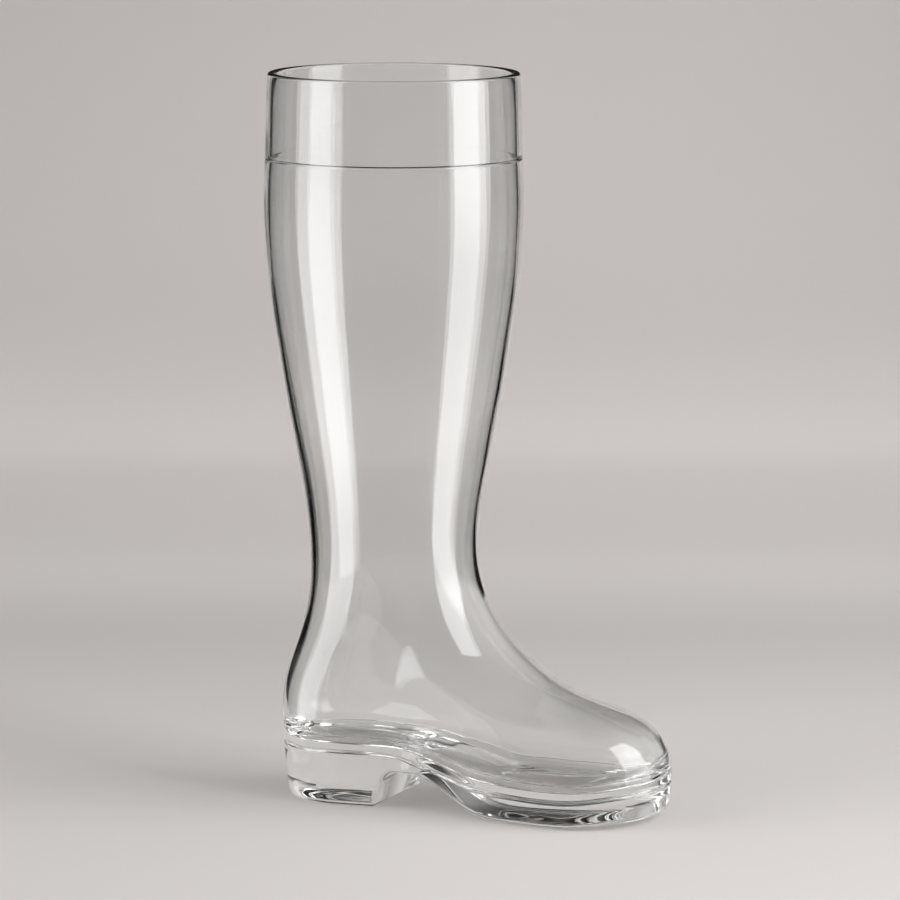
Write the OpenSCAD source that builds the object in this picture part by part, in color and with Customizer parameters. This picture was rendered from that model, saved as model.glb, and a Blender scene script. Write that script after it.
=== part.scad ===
// Glass beer boot: a cuffed mouth and a round shaft on a hollow foot, with a solid sole and heel.
// The toe points along +X, +Z is up and the boot stands on z = 0, centred over its own length.

/* [Cuff] */
// Height of the boot from the ground to the lip
boot_height = 335; // [315:1:360]
// Outside diameter of the mouth just under the lip
mouth_d = 115; // [106:0.5:117]
// Outside diameter of the cuff just above its crease
cuff_foot_d = 117; // [110:0.5:118.5]
// Height of the cuff from the crease to the lip
cuff_height = 38.5; // [24:0.5:60]
// Wall thickness of the cuff
cuff_wall = 3.6; // [3:0.1:4.4]
// Thickness of the rounded lip
lip_thickness = 4; // [3.4:0.1:5]
// Depth of the crease between cuff and shaft
crease_depth = 0.9; // [0.5:0.1:1.6]

/* [Shaft] */
// Outside diameter of the shaft at its widest
bulge_d = 119; // [112:0.5:126]
// Outside diameter of the ankle, where the shaft meets the foot
ankle_d = 76.8; // [68:0.2:86]
// Height of the ankle joint above the ground
ankle_height = 115; // [105:1:130]
// Wall thickness of shaft and foot
wall = 2.5; // [1.8:0.1:3.6]
// Height over which the wall of the shaft thickens up to the crease
neck_height = 6; // [3:0.5:12]

/* [Foot] */
// Distance from the shaft's axis to the tip of the toe
toe_reach = 134.2; // [120:0.5:150]
// Distance from the shaft's axis to the back of the heel
heel_reach = 52; // [47:0.5:58]
// Width of the foot across the ball
ball_width = 79.5; // [68:0.5:88]
// Width of the foot across the heel
heel_width = 66; // [58:0.5:70]
// Length of the rounded toe end
toe_round = 42; // [36:0.5:50]
// Length of the rounded heel end
heel_round = 31; // [27:0.5:36]
// Thickness of the floor of the foot over the sole
floor_thickness = 2.4; // [1.6:0.1:4]
// Radius of the fillet between floor and wall inside the foot
floor_fillet = 11; // [6:0.5:13]

/* [Sole and heel] */
// Height of the welt, the top edge of the sole, at the heel
heel_welt = 25.2; // [22:0.2:30]
// Height of the welt at the ball of the foot
ball_welt = 12.6; // [10:0.2:15]
// Rise of the sole towards the toe tip
toe_lift = 3; // [0:0.2:5]
// Depth of the welt crease between foot and sole
welt_depth = 0.7; // [0.4:0.1:1.2]
// Height of the lower band that leans in under the side wall
band_height = 7.5; // [6:0.1:8.5]
// Lean of that band
band_lean = 0.9; // [0.6:0.1:2]
// Radius of the bottom edge
edge_radius = 2.6; // [2:0.1:4]
// Height of the joint between heel and sole
seat_height = 15; // [13:0.1:15.6]
// Height of the arch under the shank
arch_height = 17; // [16:0.1:19]
// Distance from the shaft's axis to the front of the heel on the ground
breast_reach = 2; // [-4:0.5:6]
// Forward lean of the front of the heel over the height of the arch
breast_lean = 5.6; // [2:0.2:8]
// Radius where the front of the heel turns into the arch
breast_radius = 8; // [6:0.5:9]
// Distance from the shaft's axis to the front end of the arch
arch_reach = 61; // [54:0.5:68]
// Radius of the shallow dish under the heel
heel_dish_radius = 14; // [10:0.5:17]
// Radius of the shallow dish under the ball
ball_dish_radius = 16; // [11:0.5:18]
// Depth of both dishes
dish_depth = 1.2; // [0.6:0.1:2]

/* [Hidden] */

glass = [0.86, 0.9, 0.9, 0.6];

// Facets round each outline and steps along each profile
sides = 72;
shaft_steps = 18;
foot_steps = 27;
fillet_steps = 6;
arc_steps = 6;
arch_steps = 16;
round_sides = 72;
// Overrun of the cutting shapes
over = 5;
// Step of a level, as a share, used to find the slope of the foot's skin
level_share = 0.004;

mouth_r = mouth_d / 2;
cuff_foot_r = cuff_foot_d / 2;
bulge_r = bulge_d / 2;
ankle_r = ankle_d / 2;
crease_z = boot_height - cuff_height;
shaft_height = crease_z - ankle_height;
lip_r = lip_thickness / 2;
// Moves the shaft's axis so that the boot is centred over its length
axis_x = (bulge_r - toe_reach) / 2;

// Bulge of the shaft: height as a share of the shaft, radius as a share from ankle to bulge
shaft_shares = [[0, 0], [0.1, 0.07], [0.25, 0.28], [0.45, 0.59],
    [0.65, 0.84], [0.8, 0.96], [0.92, 1], [1, 1]];
// Turn of the shaft from its bulge in to the crease
turn_in_shares = [[0, 0], [0.9, 0], [0.96, 0.35], [1, 1]];
// Swell of the cuff from its foot to the lip
cuff_shares = [[0, 0], [0.5, 0.25], [0.8, 0.65], [1, 1]];

// The foot by level, from 0 at the welt to 1 at the ankle
// Back of the foot, from the ankle's radius out to the heel's reach
back_shares = [[0, 1], [0.1, 1.01], [0.18, 1.06], [0.25, 1.05], [0.32, 0.96],
    [0.4, 0.8], [0.52, 0.48], [0.68, 0.16], [0.84, 0.01], [1, 0]];
// Front of the foot, from the ankle's radius out to the toe's reach
front_shares = [[0, 1], [0.1, 0.997], [0.18, 0.97], [0.25, 0.926], [0.32, 0.785],
    [0.4, 0.487], [0.52, 0.287], [0.68, 0.115], [0.84, 0.026], [1, 0]];
// Turn of the heel end's width and roundness into the ankle's radius
heel_turn_shares = [[0, 0], [0.3, 0.02], [0.5, 0.3], [0.7, 0.65], [1, 1]];
// Narrowing of the instep
instep_shares = [[0, 0], [0.1, 0], [0.18, 0.012], [0.32, 0.068], [0.42, 0.085], [0.55, 0.08],
    [0.7, 0.05], [0.85, 0.02], [1, 0]];
// Lengthening of the rounded toe end over the toe box
toe_box_shares = [[0, 0], [0.25, 0.12], [0.5, 0.03], [1, 0]];
// Waist between heel and ball: how deep it is at the welt, and how it fades upward
waist_share = 0.16;
waist_place_share = 0.85;
waist_fade_shares = [[0, 1], [0.18, 0.82], [0.32, 0.56], [0.42, 0.35], [0.52, 0.19],
    [0.68, 0.06], [0.84, 0], [1, 0]];
// Fullness of the rounded ends over a plain ellipse
full_share = 0.4;
// Welt line: place as a share of the toe's reach, height as a share from ball to heel
welt_shares = [[0, 1], [0.06, 1], [0.22, 0.63], [0.42, 0.09], [0.68, 0], [1, 0]];
toe_lift_shares = [[0.72, 0], [1, 1]];
// Inward taper of the sole's side wall for each unit of height
side_taper_share = 0.1;
// Place of the heel dish between the back of the heel and its front, and of the ball dish before the toe
heel_dish_share = 0.47;
ball_dish_share = 0.6;
// Length of the flat crown of the arch
crown_share = 0.12;
// How far the slope of the arch runs on under the ground
dip_share = 0.03;
// Rise of the rounded edges along the crease over its depth
crease_rise_share = 1.4;

// Slope of a table at row i: flat at both ends and at every turn
function slope(rows, i) =
    i == 0 || i == len(rows) - 1 ? 0
    : let (
        below = (rows[i][1] - rows[i - 1][1]) / (rows[i][0] - rows[i - 1][0]),
        above = (rows[i + 1][1] - rows[i][1]) / (rows[i + 1][0] - rows[i][0])
    )
    below * above <= 0 ? 0 : 2 * below * above / (below + above);

function row_at(rows, x, i = 0) =
    i >= len(rows) - 2 || x < rows[i + 1][0] ? i : row_at(rows, x, i + 1);

// Smooth curve through a table of [place, value] rows
function smooth(rows, x) =
    let (
        i = row_at(rows, x),
        gap = rows[i + 1][0] - rows[i][0],
        s = min(max((x - rows[i][0]) / gap, 0), 1)
    )
    rows[i][1] * (2 * pow(s, 3) - 3 * pow(s, 2) + 1)
    + gap * slope(rows, i) * (pow(s, 3) - 2 * pow(s, 2) + s)
    + rows[i + 1][1] * (3 * pow(s, 2) - 2 * pow(s, 3))
    + gap * slope(rows, i + 1) * (pow(s, 3) - pow(s, 2));

function mix(a, b, s) = a + (b - a) * s;

function unit(v) = v / norm(v);

// Points along an arc from one angle to another
function arc(centre, r, from, to) =
    [for (k = [0:1:arc_steps]) let (a = mix(from, to, k / arc_steps)) centre + r * [cos(a), sin(a)]];

// Outside radius of the shaft at a share of its height
function shaft_r(s) =
    let (swell = mix(ankle_r, bulge_r, smooth(shaft_shares, s)))
    mix(swell, cuff_foot_r, smooth(turn_in_shares, s));

// Outside radius of the cuff at a share of its height
function cuff_r(s) = mix(cuff_foot_r, mouth_r, smooth(cuff_shares, s));

// Bottom of the crease, and the rise of its rounded edges
crease_r = cuff_foot_r - crease_depth;
crease_rise = crease_rise_share * crease_depth;

// Rise of the ground side of the sole under the toe
function lift(x) = toe_lift * smooth(toe_lift_shares, x / toe_reach);

// Thickness of sole and heel together, from the ground side up to the welt
function sole_depth(x) = mix(ball_welt, heel_welt, smooth(welt_shares, x / toe_reach));

// Height of the welt over the ground
function welt_z(x) = sole_depth(x) + lift(x);

// Share left of the width at a share of the way through a rounded end
function end_share(v, power) = sqrt(max(1 - pow(max(v, 0), power), 0));

// Outline of the foot at a level, with its heights between the welt and the ankle
function foot_ring(level) =
    let (
        back = -mix(ankle_r, heel_reach, smooth(back_shares, level)),
        front = mix(ankle_r, toe_reach, smooth(front_shares, level)),
        turn = smooth(heel_turn_shares, level),
        heel_half = mix(heel_width / 2, ankle_r, turn),
        toe_half = mix(ball_width / 2, ankle_r, level) * (1 - smooth(instep_shares, level)),
        heel_run = mix(heel_round, ankle_r, turn),
        toe_run = mix(toe_round, ankle_r, level) * (1 + smooth(toe_box_shares, level)),
        fit = min(1, (front - back) / (heel_run + toe_run)),
        heel_x = back + heel_run * fit,
        toe_x = front - toe_run * fit,
        run = max(toe_x - heel_x, level_share * ankle_r),
        waist = waist_share * smooth(waist_fade_shares, level),
        power = 2 + full_share * min((1 - level) * 2, 1)
    )
    [for (i = [0:1:sides - 1]) let (
        angle = 360 * i / sides,
        x = (front + back) / 2 + (front - back) / 2 * cos(angle),
        s = min(max((x - heel_x) / run, 0), 1),
        full = mix(heel_half, toe_half, s * s * (3 - 2 * s)),
        width = full * (1 - waist * pow(sin(180 * pow(s, waist_place_share)), 2)),
        heel_end = end_share((heel_x - x) / (heel_x - back), power),
        toe_end = end_share((x - toe_x) / (front - toe_x), power),
        side = i == 0 || i == sides / 2 ? 0 : sign(sin(angle))
    ) [x, width * heel_end * toe_end * side, mix(welt_z(x), ankle_height, level)]];

// Neighbour of point i along a ring
function next(ring, i) = ring[(i + 1) % sides];
function last(ring, i) = ring[(i + sides - 1) % sides];

// Level direction that points out of a ring at point i
function outward(ring, i) = let (along = next(ring, i) - last(ring, i)) unit([along.y, -along.x, 0]);

// Ring moved out along its level normals, or in by a negative distance
function ring_offset(ring, distance) = [for (i = [0:1:sides - 1]) ring[i] + distance * outward(ring, i)];

// Ring with its heights replaced by heights over the welt line
function on_welt(ring, rise) = [for (p = ring) [p.x, p.y, welt_z(p.x) + rise]];

// Ring laid level
function at_height(ring, z) = [for (p = ring) [p.x, p.y, z]];

// Ring with its heights replaced by heights over the ground side of the sole
function on_ground(ring, rise) = [for (p = ring) [p.x, p.y, lift(p.x) + rise]];

// Inside of the wall behind the foot's outline at a level
function inner_ring(level) =
    let (
        ring = foot_ring(level),
        above = foot_ring(min(level + level_share, 1)),
        below = foot_ring(max(level - level_share, 0))
    )
    [for (i = [0:1:sides - 1]) let (
        along = next(ring, i) - last(ring, i),
        up = above[i] - below[i]
    ) ring[i] - wall * unit(cross(along, up))];

// Level on the outline that lies a given rise over the welt
function level_of(rise) = rise / (ankle_height - heel_welt);

// Levels bunch together towards the welt, where the foot turns fastest
function spread(s) = pow(s, 1.2);

outline = foot_ring(0);
foot_base = on_welt(ring_offset(outline, -welt_depth), 0);
fillet_level = level_of(floor_thickness + floor_fillet);

// Outside of the foot from the welt up, with its lower edge drawn into the crease
function outer_rings() = concat(
    [foot_base],
    [for (k = [1:1:2]) let (inset = welt_depth * pow(1 - k / 2, 2) / 2)
        ring_offset(foot_ring(level_of(welt_depth * k)), -inset)],
    [for (k = [2:1:foot_steps]) foot_ring(spread(k / foot_steps))]
);

// Inside of the foot from the ankle down to the floor, with the floor fillet
function cavity_rings() = concat(
    [at_height(inner_ring(1), ankle_height)],
    [for (k = [foot_steps - 1:-1:1]) let (level = spread(k / foot_steps))
        if (level > fillet_level) inner_ring(level)],
    [for (k = [0:1:fillet_steps]) let (
        a = 90 * k / fillet_steps,
        rise = floor_thickness + floor_fillet * (1 - sin(a))
    ) on_welt(ring_offset(inner_ring(level_of(rise)), -floor_fillet * (1 - cos(a))), rise)]
);

// Ring of the tapered side wall at a share of the way from the welt down to the lower band
function wall_ring(s) =
    let (drops = [for (p = outline) (sole_depth(p.x) - welt_depth - band_height) * s])
    [for (i = [0:1:sides - 1])
        outline[i] - side_taper_share * drops[i] * outward(outline, i) - [0, 0, welt_depth + drops[i]]];

// Ring under the wall, drawn in by a distance, at a height over the ground side
function band_ring(inset, rise) = on_ground(ring_offset(wall_ring(1), -inset), rise);

// Side of the sole and heel from the ground up to the crease
function side_rings() = concat(
    [for (k = [4:-1:1]) let (a = 90 * k / 4)
        band_ring(band_lean + edge_radius * (1 - cos(a)), edge_radius * (1 - sin(a)))],
    [for (s = [1, 0.5]) band_ring(band_lean * pow(s, 1.5), mix(band_height, edge_radius, s))],
    [for (s = [1, 0.5]) wall_ring(s)],
    [for (a = [90, 45])
        on_welt(ring_offset(outline, -welt_depth * (1 - sin(a))), -welt_depth * (1 - cos(a)))],
    [foot_base]
);

// Triangles between two rings that follow each other
function band_faces(k) =
    [for (i = [0:1:sides - 1]) let (j = (i + 1) % sides, a = k * sides, b = a + sides)
        each [[a + i, b + i, b + j], [a + i, b + j, a + j]]];

// Flat strips that close a ring from side to side
function cap_faces(a) = concat(
    [[a, a + 1, a + sides - 1]],
    [for (i = [1:1:sides / 2 - 2]) [a + i, a + i + 1, a + sides - i - 1, a + sides - i]],
    [[a + sides / 2 - 1, a + sides / 2, a + sides / 2 + 1]]
);

function turned(faces) = [for (f = faces) [for (i = [len(f) - 1:-1:0]) f[i]]];

// Closed solid through a list of rings
module loft(rings) {
    faces = concat(
        [for (k = [0:1:len(rings) - 2]) each band_faces(k)],
        cap_faces(0),
        turned(cap_faces((len(rings) - 1) * sides))
    );
    polyhedron([for (ring = rings) each ring], faces);
}

// Edge rounded into the crease: 0 at its bottom, 90 where it meets the outside
function edge_point(angle, side) =
    [mix(crease_r, cuff_foot_r, sin(angle)), crease_z + side * crease_rise * (1 - cos(angle))];

// Straight band with a rounded lip at the top and a rounded edge over the crease
module cuff() {
    straight = cuff_height - lip_r;
    steps = arc_steps * 2;
    edge = [for (a = [0:30:90]) edge_point(a, 1)];
    outside = [for (k = [1:1:steps]) let (s = k / steps)
        [cuff_r(s), crease_z + mix(crease_rise, straight, s)]];
    lip = [for (a = [30:30:180])
        [mouth_r - lip_r + lip_r * cos(a), boot_height - lip_r + lip_r * sin(a)]];
    inside = [for (k = [1:1:arc_steps]) let (s = k / arc_steps) [
        cuff_r(1 - s) - mix(lip_thickness, cuff_wall, sin(90 * s)),
        crease_z + straight * (1 - s)
    ]];
    color(glass) translate([axis_x, 0])
        rotate_extrude($fn = round_sides)
            polygon(concat(edge, outside, lip, inside));
}

// Round shaft that swells from the ankle to its bulge and turns in at the crease
module shaft() {
    top = 1 - crease_rise / shaft_height;
    neck = 1 - neck_height / shaft_height;
    outside = [for (k = [0:1:shaft_steps]) let (s = top * k / shaft_steps)
        [shaft_r(s), ankle_height + shaft_height * s]];
    edge = [for (a = [60:-30:0]) edge_point(a, -1)];
    thickening = [for (k = [0:1:arc_steps - 1]) let (s = mix(1, neck, k / arc_steps)) [
        shaft_r(s) - mix(wall, cuff_wall, (1 + cos(180 * k / arc_steps)) / 2),
        ankle_height + shaft_height * s
    ]];
    inside = [for (k = [shaft_steps:-1:0]) let (s = neck * k / shaft_steps)
        [shaft_r(s) - wall, ankle_height + shaft_height * s]];
    color(glass) translate([axis_x, 0])
        rotate_extrude($fn = round_sides)
            polygon(concat(outside, edge, thickening, inside));
}

// Hollow foot: ankle, instep, heel counter and toe box, closed by its floor
module foot() {
    color(glass) translate([axis_x, 0]) loft(concat(outer_rings(), cavity_rings()));
}

// Sole and heel as one blank, before the arch is cut
module blank() {
    translate([axis_x, 0]) loft(side_rings());
}

// Front of the heel seen from the side: a leaning line that turns into the crown of the arch
breast_angle = atan(breast_lean / arch_height);
breast_centre = [
    breast_reach + breast_radius / cos(breast_angle) + (arch_height - breast_radius) * tan(breast_angle),
    arch_height - breast_radius
];
breast_line = concat(
    [[breast_reach - over * tan(breast_angle), -over]],
    arc(breast_centre, breast_radius, 180 - breast_angle, 90)
);
// Front end of the joint between heel and sole
seat_point = breast_line[1].y > seat_height
    ? [breast_reach + seat_height * tan(breast_angle), seat_height]
    : breast_centre + breast_radius * [-cos(asin((seat_height - breast_centre.y) / breast_radius)),
        (seat_height - breast_centre.y) / breast_radius];

// Slope from the crown of the arch down to the ground under the ball
function arch_line() =
    let (start = mix(breast_centre.x, arch_reach, crown_share))
    [for (k = [0:1:arch_steps]) let (s = k / arch_steps)
        [mix(start, arch_reach, s), arch_height * mix(-dip_share, 1, (1 + cos(180 * s)) / 2)]];

// Side outline pushed right through the width of the foot
module across() {
    translate([axis_x, ball_width / 2 + over]) rotate([90, 0])
        linear_extrude(ball_width + 2 * over) children();
}

// Shallow round dish in the ground face
module dish(x, r) {
    ball = (r * r + dish_depth * dish_depth) / (2 * dish_depth);
    translate([axis_x + x, 0, dish_depth - ball]) sphere(ball, $fn = round_sides);
}

// Solid sole with its arch under the shank and a dish under the ball
module sole() {
    tail = -heel_reach - over;
    color(glass) difference() {
        blank();
        across() polygon(concat(
            [[tail, -over], [tail, seat_height], seat_point],
            [for (p = breast_line) if (p.y > seat_height) p],
            arch_line(),
            [[arch_reach, -over]]
        ));
        dish(toe_reach * ball_dish_share, ball_dish_radius);
    }
}

// Solid heel with its hollowed front and a dish underneath
module heel() {
    tail = -heel_reach - over;
    color(glass) difference() {
        intersection() {
            blank();
            across() polygon(concat(
                [[tail, -over]],
                [for (p = breast_line) if (p.y < seat_height) p],
                [seat_point, [tail, seat_height]]
            ));
        }
        dish(mix(-heel_reach, breast_reach, heel_dish_share), heel_dish_radius);
    }
}

cuff();
shaft();
foot();
sole();
heel();
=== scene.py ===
from math import sin, cos, tan, pi, sqrt, acos, atan, radians, hypot
import bpy
import bmesh
import numpy as np
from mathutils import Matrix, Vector


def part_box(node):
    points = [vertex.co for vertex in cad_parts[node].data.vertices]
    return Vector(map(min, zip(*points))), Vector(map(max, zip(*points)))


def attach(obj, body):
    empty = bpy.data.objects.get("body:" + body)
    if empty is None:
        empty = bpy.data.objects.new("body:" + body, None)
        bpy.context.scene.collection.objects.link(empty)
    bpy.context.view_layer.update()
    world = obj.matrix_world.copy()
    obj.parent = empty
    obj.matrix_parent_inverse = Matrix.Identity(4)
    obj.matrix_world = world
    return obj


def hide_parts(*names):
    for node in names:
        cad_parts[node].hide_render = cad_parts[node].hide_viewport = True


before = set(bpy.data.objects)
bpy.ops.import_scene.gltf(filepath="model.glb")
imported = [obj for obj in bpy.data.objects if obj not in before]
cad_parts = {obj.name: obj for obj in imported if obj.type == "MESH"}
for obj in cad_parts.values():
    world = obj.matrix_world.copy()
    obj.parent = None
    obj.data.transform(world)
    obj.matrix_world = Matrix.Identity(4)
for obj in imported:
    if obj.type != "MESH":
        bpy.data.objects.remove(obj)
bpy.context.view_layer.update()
scene = bpy.context.scene
mm = 0.001

# the frame's own sizes, in millimetres
cuffLow, cuffHigh = [Vector(corner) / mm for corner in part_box("cuff")]
shaftLow, shaftHigh = [Vector(corner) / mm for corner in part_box("shaft")]
footHigh = Vector(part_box("foot")[1]) / mm
heelHigh = Vector(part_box("heel")[1]) / mm
axisX = (cuffLow.x + cuffHigh.x) / 2

boot = {
    "height": cuffHigh.z,
    "creaseZ": cuffLow.z,
    "cuffFootR": cuffHigh.y,
    "mouthR": 57.5,
    "cuffWall": 3.6,
    "lip": 4.0,
    "lipRise": 1.4,
    "neck": 60.0,
    "bulgeR": shaftHigh.y,
    "ankleR": 38.4,
    "ankleZ": shaftLow.z,
    "wall": 2.5,
    "toeReach": footHigh.x - axisX,
    "heelReach": 52.0,
    "ballWidth": 79.5,
    "heelWidth": 66.0,
    "toeRound": 42.0,
    "heelRound": 31.0,
    "floor": 2.4,
    "floorFillet": 11.0,
    "heelWelt": 25.2,
    "ballWelt": 12.6,
    "toeLift": 3.0,
    "weltDepth": 1.0,
    "bandHeight": 7.5,
    "bandLean": 0.9,
    "taper": 0.1,
    "edgeR": 2.4,
    "seatZ": heelHigh.z,
    "archHeight": 17.0,
    "breastX": 2.0,
    "breastLean": 5.6,
    "breastR": 8.0,
    "breastCornerR": 2.5,
    "archX": 61.0,
    "waist": 0.16,
}

# shapes of the boot as shares, the same curves as the solids have
shaftShares = [(0, 0), (0.1, 0.07), (0.25, 0.28), (0.45, 0.59),
               (0.65, 0.84), (0.8, 0.96), (0.92, 1), (1, 1)]
turnInShares = [(0, 0), (0.9, 0), (0.96, 0.35), (1, 1)]
cuffShares = [(0, 0), (0.5, 0.25), (0.8, 0.65), (1, 1)]
backShares = [(0, 1), (0.1, 1.01), (0.18, 1.06), (0.25, 1.05), (0.32, 0.96),
              (0.4, 0.8), (0.52, 0.48), (0.68, 0.16), (0.84, 0.01), (1, 0)]
frontShares = [(0, 1), (0.1, 0.997), (0.18, 0.97), (0.25, 0.926), (0.32, 0.785),
               (0.4, 0.487), (0.52, 0.287), (0.68, 0.115), (0.84, 0.026), (1, 0)]
heelTurnShares = [(0, 0), (0.3, 0.02), (0.5, 0.3), (0.7, 0.65), (1, 1)]
instepShares = [(0, 0), (0.1, 0), (0.18, 0.012), (0.32, 0.068), (0.42, 0.085), (0.55, 0.08),
                (0.7, 0.05), (0.85, 0.02), (1, 0)]
toeBoxShares = [(0, 0), (0.25, 0.12), (0.5, 0.03), (1, 0)]
waistFadeShares = [(0, 1), (0.18, 0.82), (0.32, 0.56), (0.42, 0.35),
                   (0.52, 0.19), (0.68, 0.06), (0.84, 0), (1, 0)]
weltShares = [(0, 1), (0.06, 1), (0.22, 0.63), (0.42, 0.09), (0.68, 0), (1, 0)]
toeLiftShares = [(0.72, 0), (1, 1)]
fullShare = 0.4  # how much fuller than an ellipse the foot's two ends are
crownShare = 0.12  # where the arch starts to fall, between the heel's front and the ball


def slopes(rows):
    found = [0.0]
    for before, here, after in zip(rows, rows[1:], rows[2:]):
        below = (here[1] - before[1]) / (here[0] - before[0])
        above = (after[1] - here[1]) / (after[0] - here[0])
        found.append(0.0 if below * above <= 0 else 2 * below * above / (below + above))
    return found + [0.0]


def curve(rows):  # smooth curve through (place, value) rows, level at both ends
    ends = slopes(rows)

    def value(x):
        i = 0
        while i < len(rows) - 2 and x >= rows[i + 1][0]:
            i += 1
        gap = rows[i + 1][0] - rows[i][0]
        s = min(max((x - rows[i][0]) / gap, 0), 1)
        return (rows[i][1] * (2 * s ** 3 - 3 * s ** 2 + 1) + gap * ends[i] * (s ** 3 - 2 * s ** 2 + s)
                + rows[i + 1][1] * (3 * s ** 2 - 2 * s ** 3) + gap * ends[i + 1] * (s ** 3 - s ** 2))
    return value


shaftCurve, turnInCurve, cuffCurve = curve(shaftShares), curve(turnInShares), curve(cuffShares)
backCurve, frontCurve, heelTurnCurve = curve(backShares), curve(frontShares), curve(heelTurnShares)
instepCurve, toeBoxCurve, waistFadeCurve = curve(instepShares), curve(toeBoxShares), curve(waistFadeShares)
weltCurve, toeLiftCurve = curve(weltShares), curve(toeLiftShares)


def mix(a, b, s):
    return a + (b - a) * s


def easeStep(a, b, x):
    s = min(max((x - a) / (b - a), 0), 1)
    return s * s * (3 - 2 * s)


def lift(x):
    return boot["toeLift"] * toeLiftCurve(x / boot["toeReach"])


def gauss(far, width):
    return np.exp(-(far / width) ** 2 / 2)


def weltTable(spread=3.0):  # height of the welt along the boot, evened out
    xs = np.arange(-70, 150, 0.5)
    raw = np.array([mix(boot["ballWelt"], boot["heelWelt"], weltCurve(x / boot["toeReach"])) + lift(x)
                    for x in xs])
    weight = gauss(xs[:, None] - xs[None, :], spread)
    return xs, weight @ raw / weight.sum(axis=1)


weltX, weltHeights = weltTable()


def weltZ(x):
    return float(np.interp(x, weltX, weltHeights))


def endShare(v, power):
    return sqrt(max(1 - max(v, 0) ** power, 0))


def footRing(level, turns):  # outline of the foot, level 0 at the welt and 1 at the ankle
    ankle = boot["ankleR"]
    back = -mix(ankle, boot["heelReach"], backCurve(level))
    front = mix(ankle, boot["toeReach"], frontCurve(level))
    turn = heelTurnCurve(level)
    heelHalf = mix(boot["heelWidth"] / 2, ankle, turn)
    toeHalf = mix(boot["ballWidth"] / 2, ankle, level) * (1 - instepCurve(level))
    heelRun = mix(boot["heelRound"], ankle, turn)
    toeRun = mix(boot["toeRound"], ankle, level) * (1 + toeBoxCurve(level))
    fit = min(1, (front - back) / (heelRun + toeRun))
    heelX = back + heelRun * fit
    toeX = front - toeRun * fit
    run = max(toeX - heelX, 0.1)
    waist = boot["waist"] * waistFadeCurve(level)
    power = 2 + fullShare * min((1 - level) * 2, 1)
    ring = []
    for a in turns:
        x = (front + back) / 2 + (front - back) / 2 * cos(a)
        s = min(max((x - heelX) / run, 0), 1)
        width = mix(heelHalf, toeHalf, s * s * (3 - 2 * s)) * (1 - waist * sin(pi * s ** 0.85) ** 2)
        ends = endShare((heelX - x) / (heelX - back), power) * endShare((x - toeX) / (front - toeX), power)
        side = 0 if abs(sin(a)) < 1e-9 else (1 if sin(a) > 0 else -1)
        ring.append(Vector((x, width * ends * side, mix(weltZ(x), boot["ankleZ"], level))))
    return ring


def levelOf(rise):
    return rise / (boot["ankleZ"] - boot["heelWelt"])


def outward(ring, i):
    along = ring[(i + 1) % len(ring)] - ring[i - 1]
    return Vector((along.y, -along.x, 0)).normalized()


def ringOffset(ring, distance):
    return [p + distance * outward(ring, i) for i, p in enumerate(ring)]


def onWelt(ring, rise):
    return [Vector((p.x, p.y, weltZ(p.x) + rise)) for p in ring]


def roundRing(r, z, turns):
    return [Vector((r * cos(a), r * sin(a), z)) for a in turns]


def shaftR(s):
    swell = mix(boot["ankleR"], boot["bulgeR"], shaftCurve(s))
    return mix(swell, boot["cuffFootR"], turnInCurve(s))


def cuffR(s):
    return mix(boot["cuffFootR"], boot["mouthR"], cuffCurve(s))


# Underside seen from the side: the heel's front leans forward and turns into the crown of the arch
breastAngle = atan(boot["breastLean"] / boot["archHeight"])
breastMid = Vector((
    boot["breastX"] + boot["breastR"] / cos(breastAngle)
    + (boot["archHeight"] - boot["breastR"]) * tan(breastAngle),
    boot["archHeight"] - boot["breastR"]))
crownX = mix(breastMid.x, boot["archX"], crownShare)
outlineMid = (boot["toeReach"] - boot["heelReach"]) / 2
outlineHalf = (boot["toeReach"] + boot["heelReach"]) / 2


def archZ(x):
    s = min(max((x - crownX) / (boot["archX"] - crownX), 0), 1)
    return boot["archHeight"] * (1 + cos(pi * s)) / 2 + lift(x)


def archTable(spread=5.0, run=16):  # the arch evened out where it runs into the ball
    xs = np.arange(-60, 160, 0.5)
    raw = np.array([archZ(x) for x in xs])
    weight = gauss(xs[:, None] - xs[None, :], spread)
    share = np.clip((xs - crownX) / run, 0, 1) ** 2
    return xs, mix(raw, weight @ raw / weight.sum(axis=1), share)


archX, archHeights = archTable()


def undersideZ(x):  # ground side everywhere but in the steep front of the heel
    if x < boot["breastX"]:
        return lift(x)
    return float(np.interp(x, archX, archHeights))


def breastLine(step=0.7):  # (x, z, normal x, normal z) from the ground up to the crown
    line = []
    r = boot["breastCornerR"]
    turn = pi / 2 - breastAngle
    reach = r * tan(turn / 2)
    cornerMid = Vector((boot["breastX"] - reach, r))
    count = max(round(r * turn / step), 5)
    for k in range(count + 1):
        a = -pi / 2 + turn * k / count
        line.append((cornerMid.x + r * cos(a), cornerMid.y + r * sin(a), cos(a), sin(a)))
    low = line[-1]
    top = breastMid + boot["breastR"] * Vector((-cos(breastAngle), sin(breastAngle)))
    count = round((top.y - low[1]) / step)
    for k in range(1, count):
        s = k / count
        line.append((mix(low[0], top.x, s), mix(low[1], top.y, s), cos(breastAngle), -sin(breastAngle)))
    count = round(boot["breastR"] * turn / step)
    for k in range(count + 1):
        a = pi - breastAngle - turn * k / count
        line.append((breastMid.x + boot["breastR"] * cos(a), breastMid.y + boot["breastR"] * sin(a),
                     -cos(a), -sin(a)))
    return line


def turnOf(x):
    return acos(min(max((x - outlineMid) / outlineHalf, -1), 1))


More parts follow.
